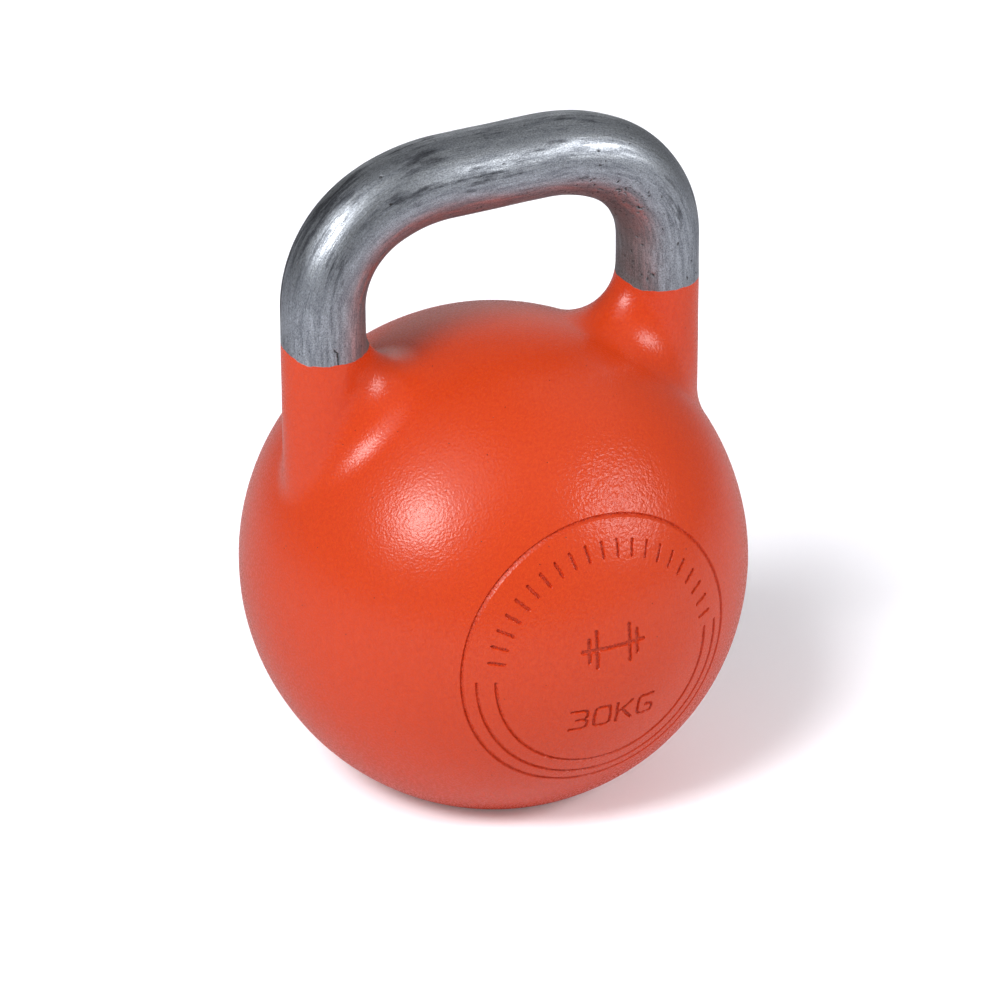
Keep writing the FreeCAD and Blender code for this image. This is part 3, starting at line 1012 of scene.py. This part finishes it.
def innerFinish(name):
    finish = innerFinishes[name]
    material, add = newMaterial(name)
    place = add("TexCoord").outputs["Object"]
    pattern = {}
    for use in ("tone", "grain"):
        kind, size = finish[use]
        pattern[use] = add(kind, {"Vector": place, "Scale": perSize(size), "Detail": finish["detail"]})
        # for the shot, the lighter middle of each grain's colour is a painted highlight
        if kind == "TexVoronoi":  # each grain is lightest at its middle
            pattern[use] = add("MapRange", {"Value": pattern[use], "From Min": 0.55, "From Max": 0.1},
                               interpolation_type="SMOOTHSTEP")
    colour = add("Mix", {0: pattern["tone"], 6: finish["dark"], 7: finish["light"]}, data_type="RGBA")
    bump = add("Bump", {"Height": pattern["grain"], "Distance": finish["depth"] * mm})
    shader = add("BsdfPrincipled", {"Base Color": colour, "Roughness": finish["roughness"],
                                    "Metallic": finish["metal"], "IOR": finish["ior"], "Normal": bump})
    add("OutputMaterial", {"Surface": shader})
    return material


def dress(target, *materials):
    target.data.materials.clear()
    for material in materials:
        target.data.materials.append(material)


print("making the finishes")
paint = orangePowderCoat()
dress(ball, paint, innerFinish("rawCasting"))
insideBall = [np.linalg.norm(np.array(face.center) / mm - ballCentre) < hollow["cavityRadius"] + 1 and
              face.center.z / mm > hollow["counterboreDepth"] + 1 for face in ball.data.polygons]
ball.data.polygons.foreach_set("material_index", np.array(insideBall, int))
dress(handle, groundCastSteel())
for weld in welds.values():
    dress(weld, paint)
dress(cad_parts["base_plug"], zincPlatedSteel())
dress(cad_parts["plug_seal"], innerFinish("nitrileRubber"))
dress(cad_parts["trim_ballast"], innerFinish("shotInResin"))


# pale flat table in a dim studio: a softbox on each side in front, and large diffusers all round
studio = {
    "floorColour": "#EFEFF5",
    "floorRoughness": 0.8,
    "floorGlow": 0.12,
    "floorDepths": (-0.1, -1.0),  # of the seen sheet and the bounce sheet, in millimetres
    "floorHalf": 6.0,
    "lampHeight": 0.12,
    "worldStrength": 0.2,
    # azimuth and elevation, distance and size in metres, and watts
    "lamps": {
        "keySoftbox": (-67.5, 36.5, 1.3, 0.46, 7.7),
        "rightSoftbox": (43, 28, 1.3, 0.5, 5.2),
        "lowDiffuser": (20, 18, 2.5, 1.8, 0.8),
        "rearDiffuser": (155, 18, 2.5, 1.8, 3.2),
        "leftDiffuser": (-60, 55, 2.5, 1.8, 9.0),
        "frontDiffuser": (20, 55, 2.5, 1.8, 1.5),
        "rightDiffuser": (100, 55, 2.5, 1.8, 2.0),
    },
    # the table top is washed by a lamp of its own, which keeps it white and its shadow soft
    "washAzimuth": -66,
    "washElevation": 50,
    "washAngle": 22,
    "washDistance": 2.0,
    "washStrength": 2.8,
}
# a long lens well back and above, in front of the object and to its left
view = {
    "azimuth": math.radians(-27.461),
    "elevation": math.radians(26.688),
    "roll": math.radians(-0.208),
    "distance": 2.70627,
    "lens": 233.3,
    "aim": (0.00068, -0.00507, 0.12168),
}


def directionFrom(azimuth, elevation):
    # azimuth turns from the front of the object, which faces -Y
    return Vector((math.sin(azimuth) * math.cos(elevation), -math.cos(azimuth) * math.cos(elevation),
                   math.sin(elevation)))


def hangLamp(name, kind, direction, distance):
    lamp = bpy.data.objects.new(name, bpy.data.lights.new(name, kind))
    lamp.location = Vector((0, 0, studio["lampHeight"])) + direction * distance
    lamp.rotation_euler = direction.to_track_quat("Z", "Y").to_euler()
    scene.collection.objects.link(lamp)
    return lamp


def paleFloor(glow):
    material, add = newMaterial("paleFloor")
    shader = add("BsdfPrincipled", {
        "Base Color": studio["floorColour"], "Roughness": studio["floorRoughness"],
        "Emission Color": (1, 1, 1, 1), "Emission Strength": glow})
    add("OutputMaterial", {"Surface": shader})
    return material


def layFloor(name, depth, glow):
    half = studio["floorHalf"] / mm
    corners = np.array([(x * half, y * half, depth) for x, y in ((-1, -1), (1, -1), (1, 1), (-1, 1))])
    floor = meshObject(name, corners, [(0, 1, 2, 3)])
    dress(floor, paleFloor(glow))
    return floor


def setStage():
    # one sheet is seen, the other under it throws the dimmer bounce light on the object
    seenDepth, bounceDepth = studio["floorDepths"]
    seen = layFloor("studioFloor", seenDepth, studio["floorGlow"])
    seen.visible_diffuse = False
    seen.visible_glossy = False
    seen.visible_shadow = False
    bounce = layFloor("bounceFloor", bounceDepth, 0.0)
    bounce.visible_camera = False
    world = bpy.data.worlds.new("studio")
    world.use_nodes = True
    background = world.node_tree.nodes["Background"]
    background.inputs["Color"].default_value = (1, 1, 1, 1)
    background.inputs["Strength"].default_value = studio["worldStrength"]
    scene.world = world
    for name, (azimuth, elevation, distance, size, power) in studio["lamps"].items():
        direction = directionFrom(math.radians(azimuth), math.radians(elevation))
        lamp = hangLamp(name, "AREA", direction, distance)
        lamp.data.shape = "DISK"
        lamp.data.size = size
        lamp.data.energy = power
    direction = directionFrom(math.radians(studio["washAzimuth"]), math.radians(studio["washElevation"]))
    wash = hangLamp("tableWash", "SUN", direction, studio["washDistance"])
    wash.data.angle = math.radians(studio["washAngle"])
    wash.data.energy = studio["washStrength"]
    tableOnly = bpy.data.collections.new("tableOnly")
    tableOnly.objects.link(seen)
    wash.light_linking.receiver_collection = tableOnly


def setCamera():
    back = directionFrom(view["azimuth"], view["elevation"])
    right = Vector((math.cos(view["azimuth"]), math.sin(view["azimuth"]), 0))
    upward = back.cross(right)
    turned = Matrix((right, upward, back)).transposed() @ Matrix.Rotation(view["roll"], 3, "Z")
    data = bpy.data.cameras.new("camera")
    data.lens = view["lens"]
    data.clip_end = 100
    camera = bpy.data.objects.new("camera", data)
    place = Vector(view["aim"]) + back * view["distance"]
    camera.matrix_world = Matrix.Translation(place) @ turned.to_4x4()
    scene.collection.objects.link(camera)
    scene.camera = camera


print("setting the stage")
setStage()
setCamera()
scene.view_settings.view_transform = "Standard"
